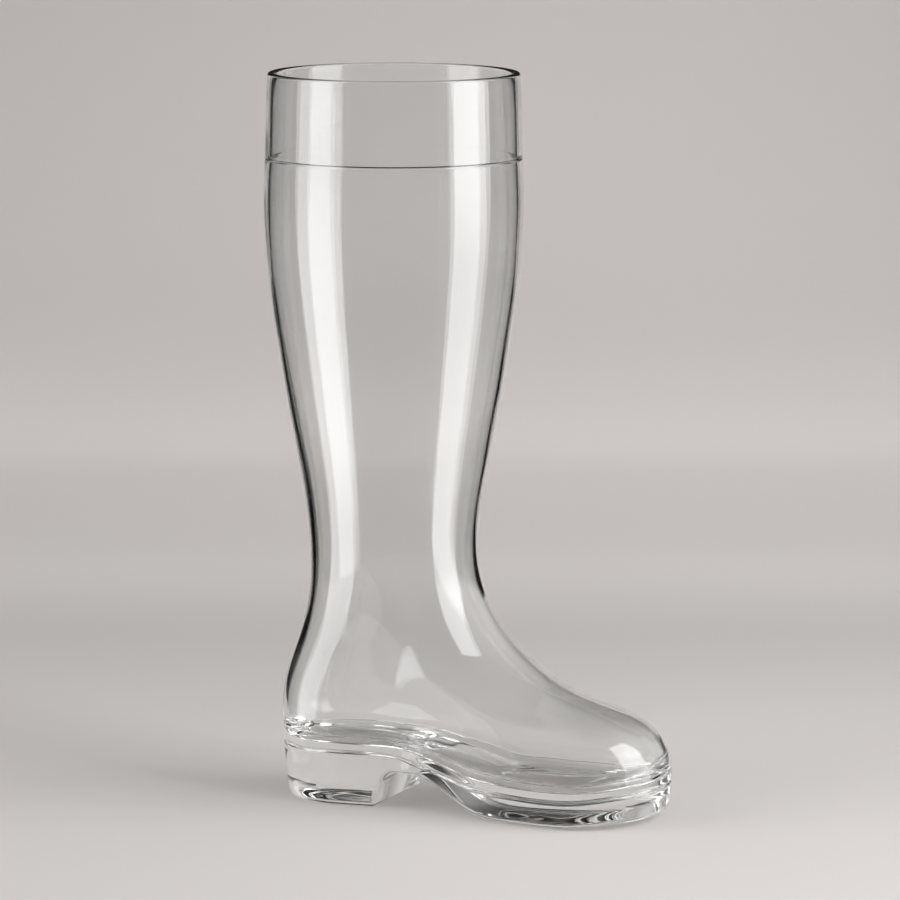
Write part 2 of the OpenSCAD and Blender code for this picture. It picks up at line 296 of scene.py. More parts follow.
# Stations round the boot, from the toe over the left side to the heel and back on the right,
# each with its turn and its point and normal on the underside
def makeStations(step=radians(0.75)):
    breast = [(turnOf(x), x, z, nx, nz) for x, z, nx, nz in breastLine()]
    first, last = breast[-1][0], breast[0][0]
    left = []
    count = round(pi / step)
    for k in range(count + 1):
        a = pi * k / count
        if first - step * 0.4 < a < last + step * 0.4:
            continue
        x = outlineMid + outlineHalf * cos(a)
        slope = (undersideZ(x + 0.05) - undersideZ(x - 0.05)) / 0.1
        if abs(x - boot["archX"]) < 0.1 or abs(x - crownX) < 0.1:
            slope = 0
        n = Vector((slope, -1)).normalized()
        left.append((a, x, undersideZ(x), n.x, n.y))
    left = sorted(left + breast)
    right = [(2 * pi - a, x, z, nx, nz) for a, x, z, nx, nz in left[1:-1]]
    return left + right[::-1]


stations = makeStations()
turns = [s[0] for s in stations]
count = len(stations)
print("stations round the boot:", count)


def outlineAt(a, step=0.004):  # point and outward normal of the welt outline at any turn
    before, here, after = footRing(0, [a - step, a, a + step])
    along = after - before
    return here, Vector((along.y, -along.x, 0)).normalized()


def wallPoint(a, z):  # side of sole and heel: tapers in downward and leans in along the lower band
    p, n = outlineAt(a)
    top = weltZ(p.x) - boot["weltDepth"]
    ground = lift(p.x)
    bandTop = ground + boot["bandHeight"]
    inset = boot["taper"] * (top - max(z, bandTop))
    if z < bandTop:
        s = (bandTop - z) / (boot["bandHeight"] - boot["edgeR"])
        inset += boot["bandLean"] * s ** 1.5
    q = p - inset * n
    return Vector((q.x, q.y, z)), n


def sideTurn(a, x):  # turn on the same side of the boot at another x
    t = turnOf(x)
    return t if a <= pi else 2 * pi - t


def middleShare(x, heel, toe):  # 1 along the middle of the boot, 0 at both ends
    return easeStep(*heel, x) * (1 - easeStep(*toe, x))


def evenEnds(rows, spread=4.0):  # evens out the bends round the toe and round the back of the heel
    for k, row in enumerate(rows):
        old = np.array(row)
        share = np.array([1 - middleShare(p[0], (-20, -10), (62, 72)) for p in old])[:, None]
        rows[k] = [Vector(p) for p in old + share * (evenRound(old, spread) - old)]
    return rows


def edgeRings(steps=9):  # rounded edge between underside and side, from the underside out
    r = boot["edgeR"]
    rows = []
    for k in range(steps, -1, -1):
        e = pi / 2 * k / steps
        row = []
        for a, x, z, nx, nz in stations:
            back = r * (1 - sin(e))
            b = a if abs(nx) < 1e-6 else sideTurn(a, x - back * nx)
            p, n = wallPoint(b, z - back * nz)
            ends = 1 - middleShare(x, (-16, -6), (60, 74))
            straight = Vector((0, 1 / n.y, 0)) if abs(n.y) > 0.2 else n
            inward = mix(straight, n, ends)
            row.append(p - r * (1 - cos(e)) * inward)
        rows.append(row)
    return rows


def sideRings(steps=14, creaseSteps=5):  # from the top of the rounded edge up to the welt crease
    r = boot["edgeR"]
    depth = boot["weltDepth"]
    rows = []
    outline = footRing(0, turns)
    for k in range(1, steps + 1):
        s = k / steps
        row = []
        for a, x, z, nx, nz in stations:
            low = sideTurn(a, x - r * nx) if abs(nx) > 1e-6 else a
            b = mix(low, a, s)
            top = weltZ(outlineMid + outlineHalf * cos(a)) - depth
            row.append(wallPoint(b, mix(z - r * nz, top, s))[0])
        rows.append(row)
    for k in range(1, creaseSteps + 1):
        e = pi / 2 * (1 - k / creaseSteps)
        rows.append(onWelt(ringOffset(outline, -depth * (1 - sin(e))), -depth * (1 - cos(e))))
    return rows


evenness = {  # how far the skin is evened out along and around the wall, and its small waves inside
    "along": 7.0,
    "around": 3.0,
    "streak": 0.03,
    "wave": 0.03,
}
crease = {  # the fine groove under the cuff: a sharp line in a soft dip, deepest on the side at this turn
    "depth": 0.35,
    "width": 0.35,
    "softDepth": 0.06,
    "softWidth": 1.2,
    "deepSide": -1.16,
    "backShare": 0.08,
    "zone": 7,
}


# Evens out each column of points along its own length, its two ends held
def evenUp(grid, spread, endRun=2.5):
    out = grid.copy()
    for i in range(grid.shape[1]):
        column = grid[:, i]
        s = np.concatenate([[0], np.cumsum(np.linalg.norm(np.diff(column, axis=0), axis=1))])
        width = np.clip(np.minimum(s, s[-1] - s) / endRun, 0.01, spread)[:, None]
        weight = gauss(s[:, None] - s[None, :], width) * np.gradient(s)[None, :]
        out[:, i] = weight @ column / weight.sum(axis=1, keepdims=True)
    return out


def evenRound(row, spread):  # the same round one closed ring
    step = np.linalg.norm(np.roll(row, -1, axis=0) - row, axis=1)
    s = np.concatenate([[0], np.cumsum(step)[:-1]])
    whole = step.sum()
    far = np.abs(s[:, None] - s[None, :])
    weight = gauss(np.minimum(far, whole - far), spread) * ((step + np.roll(step, 1)) / 2)[None, :]
    return weight @ row / weight.sum(axis=1, keepdims=True)


# Heights of the rings from the ankle to the start of the lip, close together round the crease
def wallHeights(steps=90, fineGap=0.1, fineRows=14, coarseGap=0.4, coarseRows=12, upperRows=16):
    middle, zone = boot["creaseZ"], crease["zone"]
    run = middle - boot["ankleZ"] - zone
    heights = [boot["ankleZ"] + run * k / steps for k in range(1, steps + 1)]
    fine = fineGap * fineRows
    heights += [middle + fineGap * k for k in range(-fineRows, fineRows + 1)]
    heights += [middle + side * (fine + coarseGap * k)
                for k in range(1, coarseRows + 1) for side in (-1, 1)]
    top = boot["height"] - boot["lipRise"]
    heights += [mix(middle + zone, top, k / upperRows) for k in range(upperRows + 1)]
    return sorted(heights), top


# Foot, shaft and cuff from the welt to the start of the lip, with the two creases left out
def outerGrid(footSteps=60, weltGap=0.2, weltRows=9):
    low = [levelOf(weltGap * k) for k in range(weltRows)]
    levels = low + [mix(low[-1], 1, (k / footSteps) ** 1.15) for k in range(1, footSteps + 1)]
    rows = [footRing(level, turns) for level in levels]
    owner = ["foot"] * len(rows)
    heights, top = wallHeights()
    for z in heights:
        if z <= boot["creaseZ"]:
            r = shaftR((z - boot["ankleZ"]) / (boot["creaseZ"] - boot["ankleZ"]))
        else:
            r = cuffR((z - boot["creaseZ"]) / (top - boot["creaseZ"]))
        rows.append(roundRing(r, z, turns))
        owner.append("shaft" if z <= boot["creaseZ"] + 1e-6 else "cuff")
    grid = np.array(rows)
    for k in range(len(levels) - 1):
        grid[k] = evenRound(grid[k], evenness["around"])
    return evenUp(grid, evenness["along"]), owner


def gridNormals(grid):
    around = np.roll(grid, -1, axis=1) - np.roll(grid, 1, axis=1)
    up = np.gradient(grid, axis=0)
    n = np.cross(around, up)
    return n / np.linalg.norm(n, axis=2, keepdims=True)


def pressed(grid):  # the grid with the welt crease and the groove under the cuff pressed into it
    out = grid.copy()
    normals = gridNormals(grid)
    flat = normals * [1, 1, 0]
    flat /= np.linalg.norm(flat, axis=2, keepdims=True)
    welt = np.interp(grid[0, :, 0], weltX, weltHeights)[None, :]
    rise = (grid[:, :, 2] - welt) / (2 * boot["weltDepth"])
    depth = boot["weltDepth"] * np.clip(1 - rise, 0, 1) ** 2
    far = grid[:, :, 2] - boot["creaseZ"]
    facing = np.cos(np.array(turns) - crease["deepSide"])[None, :]
    share = mix(crease["backShare"], 1, np.clip(facing / 0.5 + 0.9, 0, 1))
    depth += share * crease["depth"] * gauss(far, crease["width"])
    depth += share * crease["softDepth"] * gauss(far, crease["softWidth"])
    return out - depth[:, :, None] * flat


# Blown glass is never quite even: the inside wanders a little from the outside
def wander(z, a, fadeRun=6):
    h = z / boot["height"]
    streaks = np.sin(7 * a + 3 * h) + 0.7 * np.sin(12 * a - 4 * h + 1.3) + 0.5 * np.sin(19 * a + 2.2)
    waves = np.sin(31 * h + 2 * a) + 0.6 * np.sin(53 * h - 3 * a + 0.8)
    fade = np.clip((boot["height"] - boot["lip"] - z) / fadeRun, 0, 1)
    return (evenness["streak"] * streaks + evenness["wave"] * waves) * fade


def thickness(z):  # from the thin wall below up to the cuff's, and on to the lip's at the mouth
    neck = np.clip((z - (boot["creaseZ"] - boot["neck"])) / boot["neck"], 0, 1)
    upper = np.clip((z - boot["creaseZ"]) / (boot["height"] - boot["lipRise"] - boot["creaseZ"]), 0, 1)
    wall = boot["wall"] + (boot["cuffWall"] - boot["wall"]) * (1 - np.cos(pi * neck)) / 2
    return wall + (boot["lip"] - boot["cuffWall"]) * upper ** 2


# Inside of the wall from the lip down, then round on to the floor
def innerGrid(grid, owner, steps=14, clearance=0.8):
    z = grid[:, :, 2]
    a = np.array(turns)[None, :]
    wall = grid - (thickness(z) + wander(z, a))[:, :, None] * gridNormals(grid)
    fillet = boot["floorFillet"]
    rise = wall[:, :, 2] - np.interp(wall[:, :, 0], weltX, weltHeights)
    top = boot["floor"] + fillet
    keep = [k for k in range(len(grid)) if rise[k].min() > top + clearance]
    rows = [wall[k] for k in keep[::-1]]
    names = [owner[min(k + 1, len(owner) - 1)] for k in keep[::-1]]
    for k in range(steps + 1):
        e = pi / 2 * k / steps
        want = boot["floor"] + fillet * (1 - sin(e))
        ring = [Vector([np.interp(want, rise[:, i], wall[:, i, j]) for j in (0, 1)] + [0])
                for i in range(count)]
        ring = ringOffset(ring, -fillet * (1 - cos(e)))
        rows.append(onWelt(ring, want))
        names.append("foot")
    return rows, names


def lipRings(steps=20, fullness=0.8):  # flat on top with soft corners
    lipR = boot["lip"] / 2
    rows = []
    for k in range(1, steps):
        c, s = cos(pi * k / steps), sin(pi * k / steps)
        across = abs(c) ** fullness if c > 0 else -abs(c) ** fullness
        z = boot["height"] - boot["lipRise"] * (1 - s ** fullness)
        rows.append(roundRing(boot["mouthR"] - lipR + lipR * across, z, turns))
    return rows


basins = {  # round hollows: place along the boot, radius, depth
    "heelFloor": (-12.5, 16.5, 1.2),
    "ballFloor": (84, 22.0, 1.5),
    "heelDish": (-23.4, 14, 0.35),
    "ballDish": (80.5, 16, 0.35),
}


def basinDepth(name, x, y, stretch=1.25):  # level in the middle, with three soft steps out to its rim
    place, r, depth = basins[name]
    d = hypot((x - place) / stretch, y)
    steps = ((0.4, r - 5), (0.35, r - 1.5), (0.25, r + 2))
    return depth * sum(share * (1 - easeStep(edge - 1, edge + 1, d)) for share, edge in steps)


def dishDepth(name, x, y, reach=1.15):  # a shallow cap that runs out softly
    place, r, depth = basins[name]
    d = hypot(x - place, y) / r / reach
    return depth * (1 - d * d) ** 2 if d < 1 else 0


def crossGrid(ring, height, across=48):  # rows of points from side to side inside a ring
    half = count // 2
    rows = []
    for k in range(1, half):
        left, right = ring[k], ring[count - k]
        row = []
        for j in range(1, across):
            p = left.lerp(right, j / across)
            row.append(Vector((p.x, p.y, height(p))))
        rows.append(row)
    return rows


def undersideHeight(p):
    return p.z + dishDepth("heelDish", p.x, p.y) + dishDepth("ballDish", p.x, p.y)


def floorHeight(p):
    return p.z - basinDepth("heelFloor", p.x, p.y) - basinDepth("ballFloor", p.x, p.y)


groundSide, floorSide = 1, 2  # the two flat sheets, as marked on their faces


def refine(bm, flat, kind, names, base, height, margin=9.0):  # finer faces where the hollows are
    near = []
    for f in bm.faces:
        if f[flat] == kind:
            c = f.calc_center_median()
            if any(hypot(c.x - basins[name][0], c.y) < basins[name][1] + margin for name in names):
                near.append(f)
    edges = list(dict.fromkeys(e for f in near for e in f.edges))
    made = bmesh.ops.subdivide_edges(bm, edges=edges, cuts=2, use_grid_fill=True)
    for v in made["geom_inner"]:
        if isinstance(v, bmesh.types.BMVert) and all(f[flat] == kind for f in v.link_faces):
            v.co.z = height(Vector((v.co.x, v.co.y, base(v.co.x))))


# The whole skin is one closed sheet: underside, sides, foot, shaft, cuff, lip and back down inside
def makeSkin():
    bm = bmesh.new()
    part = bm.faces.layers.int.new("part")
    flat = bm.faces.layers.int.new("flat")
    outer, outerNames = outerGrid()
    inner, innerNames = innerGrid(outer, outerNames)
    low = evenEnds(edgeRings() + sideRings())
    lip = lipRings()
    rings = low + [[Vector(p) for p in row] for row in list(pressed(outer))[1:] + lip + inner]
    owner = ["sole"] * len(low) + outerNames[1:] + ["cuff"] * len(lip) + innerNames
    vertRings = [[bm.verts.new(p) for p in ring] for ring in rings]
    half = count // 2
    order = ["cuff", "shaft", "foot", "sole", "heel"]
    for k in range(len(rings) - 1):
        low, high = vertRings[k], vertRings[k + 1]
        name = owner[k + 1]
        for i in range(count):
            j = (i + 1) % count
            face = bm.faces.new((low[i], low[j], high[j], high[i]))
            face[part] = order.index(name)

    def fill(ring, verts, height, flip, name):
        rows = [[bm.verts.new(p) for p in row] for row in crossGrid(ring, height)]
        lines = [[verts[k]] + rows[k - 1] + [verts[count - k]] for k in range(1, half)]
        for line, after in zip(lines, lines[1:]):
            for a, b, c, d in zip(line, line[1:], after[1:], after):
                quad = (a, b, c, d)
                face = bm.faces.new(quad[::-1] if flip else quad)
                face[part] = order.index(name)
                face[flat] = groundSide if flip else floorSide
        for tip, line, turned in ((verts[0], lines[0], False), (verts[half], lines[-1], True)):
            for a, b in zip(line, line[1:]):
                tri = (tip, b, a) if turned != flip else (tip, a, b)
                face = bm.faces.new(tri[::-1] if not flip and not turned else tri)
                face[part] = order.index(name)

    fill(rings[0], vertRings[0], undersideHeight, True, "sole")
    fill(rings[-1], vertRings[-1], floorHeight, False, "foot")
    refine(bm, flat, groundSide, ("heelDish", "ballDish"), lift, undersideHeight)
    refine(bm, flat, floorSide, ("heelFloor", "ballFloor"), lambda x: weltZ(x) + boot["floor"],
           floorHeight)
    bmesh.ops.recalc_face_normals(bm, faces=bm.faces)
    if bm.calc_volume(signed=True) < 0:
        bmesh.ops.reverse_faces(bm, faces=bm.faces)
    return bm, part, order


skin, partLayer, partOrder = makeSkin()
print("skin:", len(skin.verts), "points,", len(skin.faces), "faces,",
      round(skin.calc_volume() / 1000), "cm3")


# The heel is the column under the seat, behind the arch
def splitHeel(bm, part, order):
    limit = breastMid.x
    sole = order.index("sole")
    chosen = [f for f in bm.faces if f[part] == sole and f.calc_center_median().x < limit]
    geometry = chosen + [g for f in chosen for g in list(f.verts) + list(f.edges)]
    bmesh.ops.bisect_plane(bm, geom=list(dict.fromkeys(geometry)), dist=1e-4,
                           plane_co=(0, 0, boot["seatZ"]), plane_no=(0, 0, 1))
    for f in bm.faces:
        middle = f.calc_center_median()
        if f[part] == sole and middle.x < limit and middle.z < boot["seatZ"]:
            f[part] = order.index("heel")


splitHeel(skin, partLayer, partOrder)
skin.normal_update()


# Loops where one part ends and its neighbour begins, closed with faces that light passes unchanged
def borderLoops(bm, part, a, b):
    edges = [e for e in bm.edges if {f[part] for f in e.link_faces} == {a, b}]
    neighbours = {}
    for e in edges:
        for v, w in (e.verts, reversed(e.verts)):
            neighbours.setdefault(v, []).append(w)
    loops, left = [], dict.fromkeys(neighbours)
    while left:
        loop, onward = [], [next(iter(left))]
        while onward:
            del left[onward[0]]
            loop.append(onward[0])
            onward = [v for v in neighbours[loop[-1]] if v in left]
        loops.append(loop)
    return loops


def signedArea(loop):
    return sum(a.co.x * b.co.y - b.co.x * a.co.y for a, b in zip(loop, loop[1:] + loop[:1])) / 2


def jointFaces(loops):
    loops = [loop if signedArea(loop) > 0 else loop[::-1] for loop in loops]
    loops.sort(key=signedArea, reverse=True)
    if len(loops) == 1:
        return [loops[0]]
    outer, inner = loops
    start = min(range(len(inner)), key=lambda i: (inner[i].co - outer[0].co).length)
    inner = inner[start:] + inner[:start]
    size = len(outer)
    return [[outer[i], outer[(i + 1) % size], inner[(i + 1) % size], inner[i]] for i in range(size)]


def stripFaces(loop):  # straight strips from side to side of one loop
    tip = max(range(len(loop)), key=lambda i: loop[i].co.x)
    loop = loop[tip:] + loop[:tip]
    size = len(loop)
    faces = [[loop[0], loop[1], loop[-1]]]
    faces += [[loop[i], loop[i + 1], loop[size - i - 1], loop[size - i]] for i in range(1, size // 2 - 1)]
    middle = size // 2
    faces.append([loop[middle - 1], loop[middle], loop[middle + 1]])
    return faces


def makePiece(name, joints):
    index = partOrder.index(name)
    faces = [[v for v in f.verts] for f in skin.faces if f[partLayer] == index]
    skinFaces = len(faces)
    for quads, up in joints:
        faces += [quad if up else quad[::-1] for quad in quads]
    places = {}
    for face in faces:
        for v in face:
            places.setdefault(v, len(places))
    mesh = bpy.data.meshes.new(name)
    mesh.from_pydata([(v.co + Vector((axisX, 0, 0))) * mm for v in places], [],
                     [[places[v] for v in face] for face in faces])
    mesh.polygons.foreach_set("use_smooth", [True] * len(faces))
    mesh.materials.append(clearGlass)
    mesh.materials.append(jointGlass)
    normals = []
    owners = list(places)
    for polygon in mesh.polygons:
        if polygon.index < skinFaces:
            normals += [owners[mesh.loops[k].vertex_index].normal for k in polygon.loop_indices]
        else:
            polygon.material_index = 1
            normals += [polygon.normal.copy() for k in polygon.loop_indices]
    mesh.normals_split_custom_set(normals)
    piece = bpy.data.objects.new(name + "Glass", mesh)
    scene.collection.objects.link(piece)
    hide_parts(name)
    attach(piece, "root")
    print(name, "made:", len(mesh.vertices), "points,", len(mesh.polygons), "faces")


# Short forms for building materials
def newMaterial(name):
    m = bpy.data.materials.new(name)
    m.use_nodes = True
    return m, m.node_tree.nodes["Principled BSDF"]


def addNode(tree, kind, values=None):  # the values by the names of their sockets
    node = tree.nodes.new("ShaderNode" + kind)
    for name, value in (values or {}).items():
        node.inputs[name].default_value = value
    return node


def link(tree, a, out, b, into):
    tree.links.new(a.outputs[out], b.inputs[into])


def clearWhere(tree, factor, factorOut, solid, solidOut, tint=(1, 1, 1, 1)):  # where the factor is 1
    clear = addNode(tree, "BsdfTransparent", {"Color": tint})
    either = addNode(tree, "MixShader")
    link(tree, factor, factorOut, either, 0)
    link(tree, solid, solidOut, either, 1)
    link(tree, clear, "BSDF", either, 2)
    link(tree, either, "Shader", tree.nodes["Material Output"], "Surface")


def makeUnevenness():  # noise spread between two levels: fog in glass, grain, blotches and specks
    group = bpy.data.node_groups.new("unevenness", "ShaderNodeTree")
    values = {"Scale": 5.0, "Detail": 2.0, "From": 0.0, "To": 1.0, "Low": 0.0, "High": 1.0}
    for name, value in values.items():
        given = group.interface.new_socket(name=name, in_out="INPUT", socket_type="NodeSocketFloat")
        given.default_value = value
    group.interface.new_socket(name="Level", in_out="OUTPUT", socket_type="NodeSocketFloat")
    start, end = group.nodes.new("NodeGroupInput"), group.nodes.new("NodeGroupOutput")
    place = addNode(group, "TexCoord")
    noise = addNode(group, "TexNoise")
    spread = addNode(group, "MapRange")
    link(group, place, "Object", noise, "Vector")
    link(group, start, "Scale", noise, "Scale")
    link(group, start, "Detail", noise, "Detail")
    link(group, noise, "Fac", spread, "Value")
    for name, into in (("From", "From Min"), ("To", "From Max"), ("Low", "To Min"), ("High", "To Max")):
        link(group, start, name, spread, into)
    link(group, spread, "Result", end, "Level")
    return group


unevenness = makeUnevenness()


def addUnevenness(tree, values):
    node = tree.nodes.new("ShaderNodeGroup")
    node.node_tree = unevenness
    for name, value in values.items():
        node.inputs[name].default_value = value
    return node


# Clear glass with faint waves and faint fog in patches; lamps shine through it with the shadow's tint
glass = {
    "ior": 1.5,
    "colour": (0.985, 0.99, 0.988, 1),
    "waveScale": 34.0,
    "waveStrength": 0.25,
    "waveDepth": 0.00004,
    "fogScale": 55.0,
    "fogFrom": 0.4,
    "fogTo": 0.75,
    "fog": 0.012,
    "shadowTint": (0.76, 0.76, 0.755, 1),
}


def makeClearGlass():
    m, shader = newMaterial("clearGlass")
    tree = m.node_tree
    shader.inputs["Base Color"].default_value = glass["colour"]
    shader.inputs["IOR"].default_value = glass["ior"]
    shader.inputs["Transmission Weight"].default_value = 1.0
    fog = addUnevenness(tree, {"Scale": glass["fogScale"], "From": glass["fogFrom"], "To": glass["fogTo"],
                               "High": glass["fog"]})
    link(tree, fog, "Level", shader, "Roughness")
    waves = addUnevenness(tree, {"Scale": glass["waveScale"], "Detail": 0.0})
    bump = addNode(tree, "Bump", {"Strength": glass["waveStrength"], "Distance": glass["waveDepth"]})
    link(tree, waves, "Level", bump, "Height")
    link(tree, bump, "Normal", shader, "Normal")
    path = addNode(tree, "LightPath")
    clearWhere(tree, path, "Is Shadow Ray", shader, "BSDF", glass["shadowTint"])
    return m


def makeJointGlass():
    m, shader = newMaterial("jointGlass")
    shader.inputs["Alpha"].default_value = 0.0
    return m


clearGlass = makeClearGlass()
jointGlass = makeJointGlass()

codes = {name: i for i, name in enumerate(partOrder)}
creaseJoint = jointFaces(borderLoops(skin, partLayer, codes["cuff"], codes["shaft"]))
ankleJoint = jointFaces(borderLoops(skin, partLayer, codes["shaft"], codes["foot"]))
weltJoint = stripFaces(jointFaces(borderLoops(skin, partLayer, codes["foot"], codes["sole"]))[0])
seatJoint = stripFaces(jointFaces(borderLoops(skin, partLayer, codes["sole"], codes["heel"]))[0])
makePiece("cuff", [(creaseJoint, False)])
makePiece("shaft", [(creaseJoint, True), (ankleJoint, False)])
makePiece("foot", [(ankleJoint, True), (weltJoint, False)])
makePiece("sole", [(weltJoint, True), (seatJoint, False)])
makePiece("heel", [(seatJoint, True)])


# Camera
view = {
    "azimuth": radians(23.5),
    "distance": 2353 * mm,
    "height": 517.3 * mm,
    "pitch": radians(8.5),
    "lens": 207.7,
    "sensor": 36,
    "shiftX": 0.0624,
    "shiftY": -0.00974,
    "farthest": 20,
}


def makeCamera():
    data = bpy.data.cameras.new("camera")
    data.lens = view["lens"]
    data.sensor_width = view["sensor"]
    data.shift_x = view["shiftX"]
    data.shift_y = view["shiftY"]
    data.clip_end = view["farthest"]
    camera = bpy.data.objects.new("camera", data)
    camera.location = (axisX * mm + sin(view["azimuth"]) * view["distance"],
                       -cos(view["azimuth"]) * view["distance"], view["height"])
    camera.rotation_euler = (pi / 2 - view["pitch"], 0, view["azimuth"])
    scene.collection.objects.link(camera)
    scene.camera = camera


makeCamera()

towardCamera = Vector((sin(view["azimuth"]), -cos(view["azimuth"]), 0))
towardRight = Vector((cos(view["azimuth"]), sin(view["azimuth"]), 0))
bootFoot = Vector((axisX * mm, 0, 0))


# Floor and backdrop: one strip of pale paper that sweeps up behind the boot, on a dark studio floor.
# Widening and the painted light and shade go by the distance behind the boot, the painted shade also by
# the side, darker to the left
paper = {
    "left": 0.20,
    "right": 0.255,
    "widening": [(0, 0), (0.55, 0.05), (0.97, 0.14), (1.12, 0.22), (1.2, 0.48), (1.25, 0.5)],
    "front": 0.24,
    "back": 1.25,
    "bend": 0.28,
    "height": 0.37,
    "drop": 0.00005,
    "colour": (0.885, 0.846, 0.83, 1),
    # painted light and shade: the paper lighter or darker by the distance behind the boot
    "paintedShading": [(-0.3, 0.69), (0.0, 0.71), (0.4, 0.665), (0.66, 0.86), (1.04, 0.995), (1.2, 0.775)],
    # painted shade: the paper darker towards its left side
    "paintedLeftShade": 0.93,
    "paintedShadeLeftEnd": -0.30,
    "paintedShadeRightEnd": 0.25,
    "blotchScale": 3.0,
    "blotchLow": 0.985,
    "blotchHigh": 1.015,
    "grain": 900.0,
    "grainDetail": 3.0,
    "grainDepth": 0.00002,
    "roughness": 0.9,
    "specular": 0.1,
}


def distanceAlong(tree, place, direction, out="Object"):  # how far a place lies in a direction
    along = addNode(tree, "VectorMath")
    along.operation = "DOT_PRODUCT"
    along.inputs[1].default_value = direction
    link(tree, place, out, along, 0)
    return along


# painted light and shade: a ramp of greys along the paper
def paintedShadingRamp(tree, paintedShading):  # a node with the share of each tone as its grey
    first, last = paintedShading[0][0], paintedShading[-1][0]
    span = addNode(tree, "MapRange", {"From Min": first, "From Max": last})
    ramp = addNode(tree, "ValToRGB")
    ramp.color_ramp.interpolation = "EASE"
    for k, (where, share) in enumerate(paintedShading):
        spot = (where - first) / (last - first)
        if k in (0, len(paintedShading) - 1):
            mark = ramp.color_ramp.elements[0 if k == 0 else -1]
            mark.position = spot
        else:
            mark = ramp.color_ramp.elements.new(spot)
        mark.color = (share, share, share, 1)
    link(tree, span, "Result", ramp, "Fac")
    return span, ramp


def product(tree, a, outA, b, outB):
    made = addNode(tree, "Math")
    made.operation = "MULTIPLY"
    link(tree, a, outA, made, 0)
    link(tree, b, outB, made, 1)
    return made


# the paper's colour carries painted light and shade, by the distance behind the boot and darker to the
# left
def paperMaterial():  # faint fibre in the paper; its back lets the light and the eye through
    m, shader = newMaterial("paper")
    tree = m.node_tree
    shader.inputs["Roughness"].default_value = paper["roughness"]
    shader.inputs["Specular IOR Level"].default_value = paper["specular"]
    place = addNode(tree, "TexCoord")
    fibre = addUnevenness(tree, {"Scale": paper["grain"], "Detail": paper["grainDetail"]})
    bump = addNode(tree, "Bump", {"Distance": paper["grainDepth"]})
    link(tree, fibre, "Level", bump, "Height")
    link(tree, bump, "Normal", shader, "Normal")
    blotches = addUnevenness(tree, {"Scale": paper["blotchScale"], "Low": paper["blotchLow"],
                                    "High": paper["blotchHigh"]})
    # painted shade, darker towards the left side of the paper
    across = distanceAlong(tree, place, towardRight)
    paintedSideShade = addNode(tree, "MapRange", {"From Min": paper["paintedShadeLeftEnd"], "From Max": paper["paintedShadeRightEnd"],
                                       "To Min": paper["paintedLeftShade"]})
    paintedSideShade.interpolation_type = "SMOOTHSTEP"
    link(tree, across, "Value", paintedSideShade, "Value")
    # painted light and shade along the paper, by the distance behind the boot
    span, ramp = paintedShadingRamp(tree, paper["paintedShading"])
    link(tree, distanceAlong(tree, place, -towardCamera), "Value", span, "Value")
    whole = product(tree, product(tree, blotches, "Level", paintedSideShade, "Result"), "Value", ramp, "Color")
    shade = addNode(tree, "Mix")
    shade.data_type = "RGBA"
    shade.blend_type = "MULTIPLY"
    shade.inputs["Factor"].default_value = 1.0
    shade.inputs["A"].default_value = paper["colour"]
    link(tree, whole, "Value", shade, "B")
    link(tree, shade, "Result", shader, "Base Color")
    side = addNode(tree, "NewGeometry")
    clearWhere(tree, side, "Backfacing", shader, "BSDF")
    return m


def stagePiece(name, bm, material):
    mesh = bpy.data.meshes.new(name)
    bm.to_mesh(mesh)
    bm.free()
    mesh.materials.append(material)
    sheet = bpy.data.objects.new(name, mesh)
    scene.collection.objects.link(sheet)
    return sheet


def makePaper(flatRows=8, bendRows=24):
    bendStart = paper["back"] - paper["bend"]
    run = [(-paper["front"], 0.0)]
    run += [(bendStart * k / flatRows, 0.0) for k in range(flatRows + 1)]
    for k in range(1, bendRows + 1):
        a = pi / 2 * k / bendRows
        run.append((bendStart + paper["bend"] * sin(a), paper["bend"] * (1 - cos(a))))
    run.append((paper["back"], paper["height"]))
    places, widths = zip(*paper["widening"])
    bm = bmesh.new()
    rows = []
    for away, up in run:
        wider = float(np.interp(away, places, widths))
        row = []
        for side in (-paper["left"] - wider, 0, paper["right"] + wider):
            p = bootFoot - towardCamera * away + towardRight * side
            row.append(bm.verts.new((p.x, p.y, up - paper["drop"])))
        rows.append(row)
    for low, high in zip(rows, rows[1:]):
        for a, b, c, d in zip(low, low[1:], high[1:], high):
            bm.faces.new((a, b, c, d)).smooth = True
    stagePiece("paper", bm, paperMaterial())


studioFloor = {
    "radius": 3.2,
    "z": -0.75,
    "corners": 96,
    "colour": (0.035, 0.034, 0.033, 1),
    "speckScale": 40.0,
    "roughLow": 0.6,
    "roughHigh": 0.8,
}


def makeStudioFloor():
    bm = bmesh.new()
    around = [2 * pi * k / studioFloor["corners"] for k in range(studioFloor["corners"])]
    ring = roundRing(studioFloor["radius"], studioFloor["z"], around)
    bm.faces.new([bm.verts.new(bootFoot + p) for p in ring])
    m, shader = newMaterial("studioFloor")
    tree = m.node_tree
    shader.inputs["Base Color"].default_value = studioFloor["colour"]
    specks = addUnevenness(tree, {"Scale": studioFloor["speckScale"], "Low": studioFloor["roughLow"],
                                  "High": studioFloor["roughHigh"]})
    link(tree, specks, "Level", shader, "Roughness")
    stagePiece("studioFloor", bm, m)


makePaper()
makeStudioFloor()


# Two glowing sheets on both sides of the table, the right one dimmer towards its lower end.
# They are hidden from the eye, also straight through the glass, and seen only in reflections
lamps = {
    "rightBox": {"angle": 73.5, "level": 4.0, "high": 1.25, "dimShare": 0.57},
    "leftBox": {"angle": -76, "level": 2.75, "high": 1.5, "dimShare": 1.0},
}
softbox = {
    "distance": 1.0,
    "width": 0.70,
    "low": -0.35,
    "dimBelow": 0.0,
    "fullAbove": 0.34,
}


